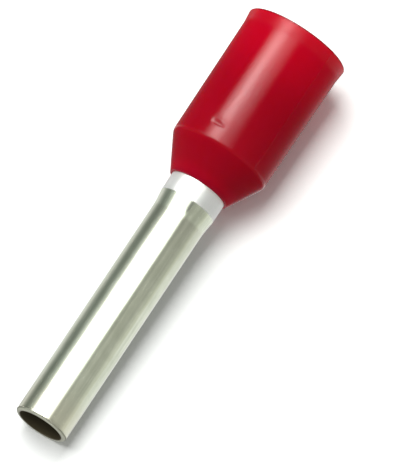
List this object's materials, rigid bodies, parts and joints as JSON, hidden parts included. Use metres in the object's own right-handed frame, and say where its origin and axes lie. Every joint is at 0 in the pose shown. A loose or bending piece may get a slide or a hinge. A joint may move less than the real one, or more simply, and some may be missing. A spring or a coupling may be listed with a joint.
{
  "type": "wire ferrule",
  "caption": "Insulated wire ferrule: a tinned copper crimp tube with a red plastic collar that takes the wire's insulation.",
  "frame": {"origin": "centre of the collar's open mouth, where the wire goes in and on which the ferrule stands", "axes": "+Z along the ferrule's axis, from the collar's mouth to the crimp tube's open end; the ferrule is round, so +X and +Y have no feature of their own"},
  "size_m": [0.0034, 0.0032, 0.014],
  "materials": {
    "tinned_copper": "gloss",
    "red_plastic": "gloss"
  },
  "bodies": {
    "root": {"crimp_tube": "tinned_copper", "insulating_collar": "red_plastic"}
  },
  "joints": []
}
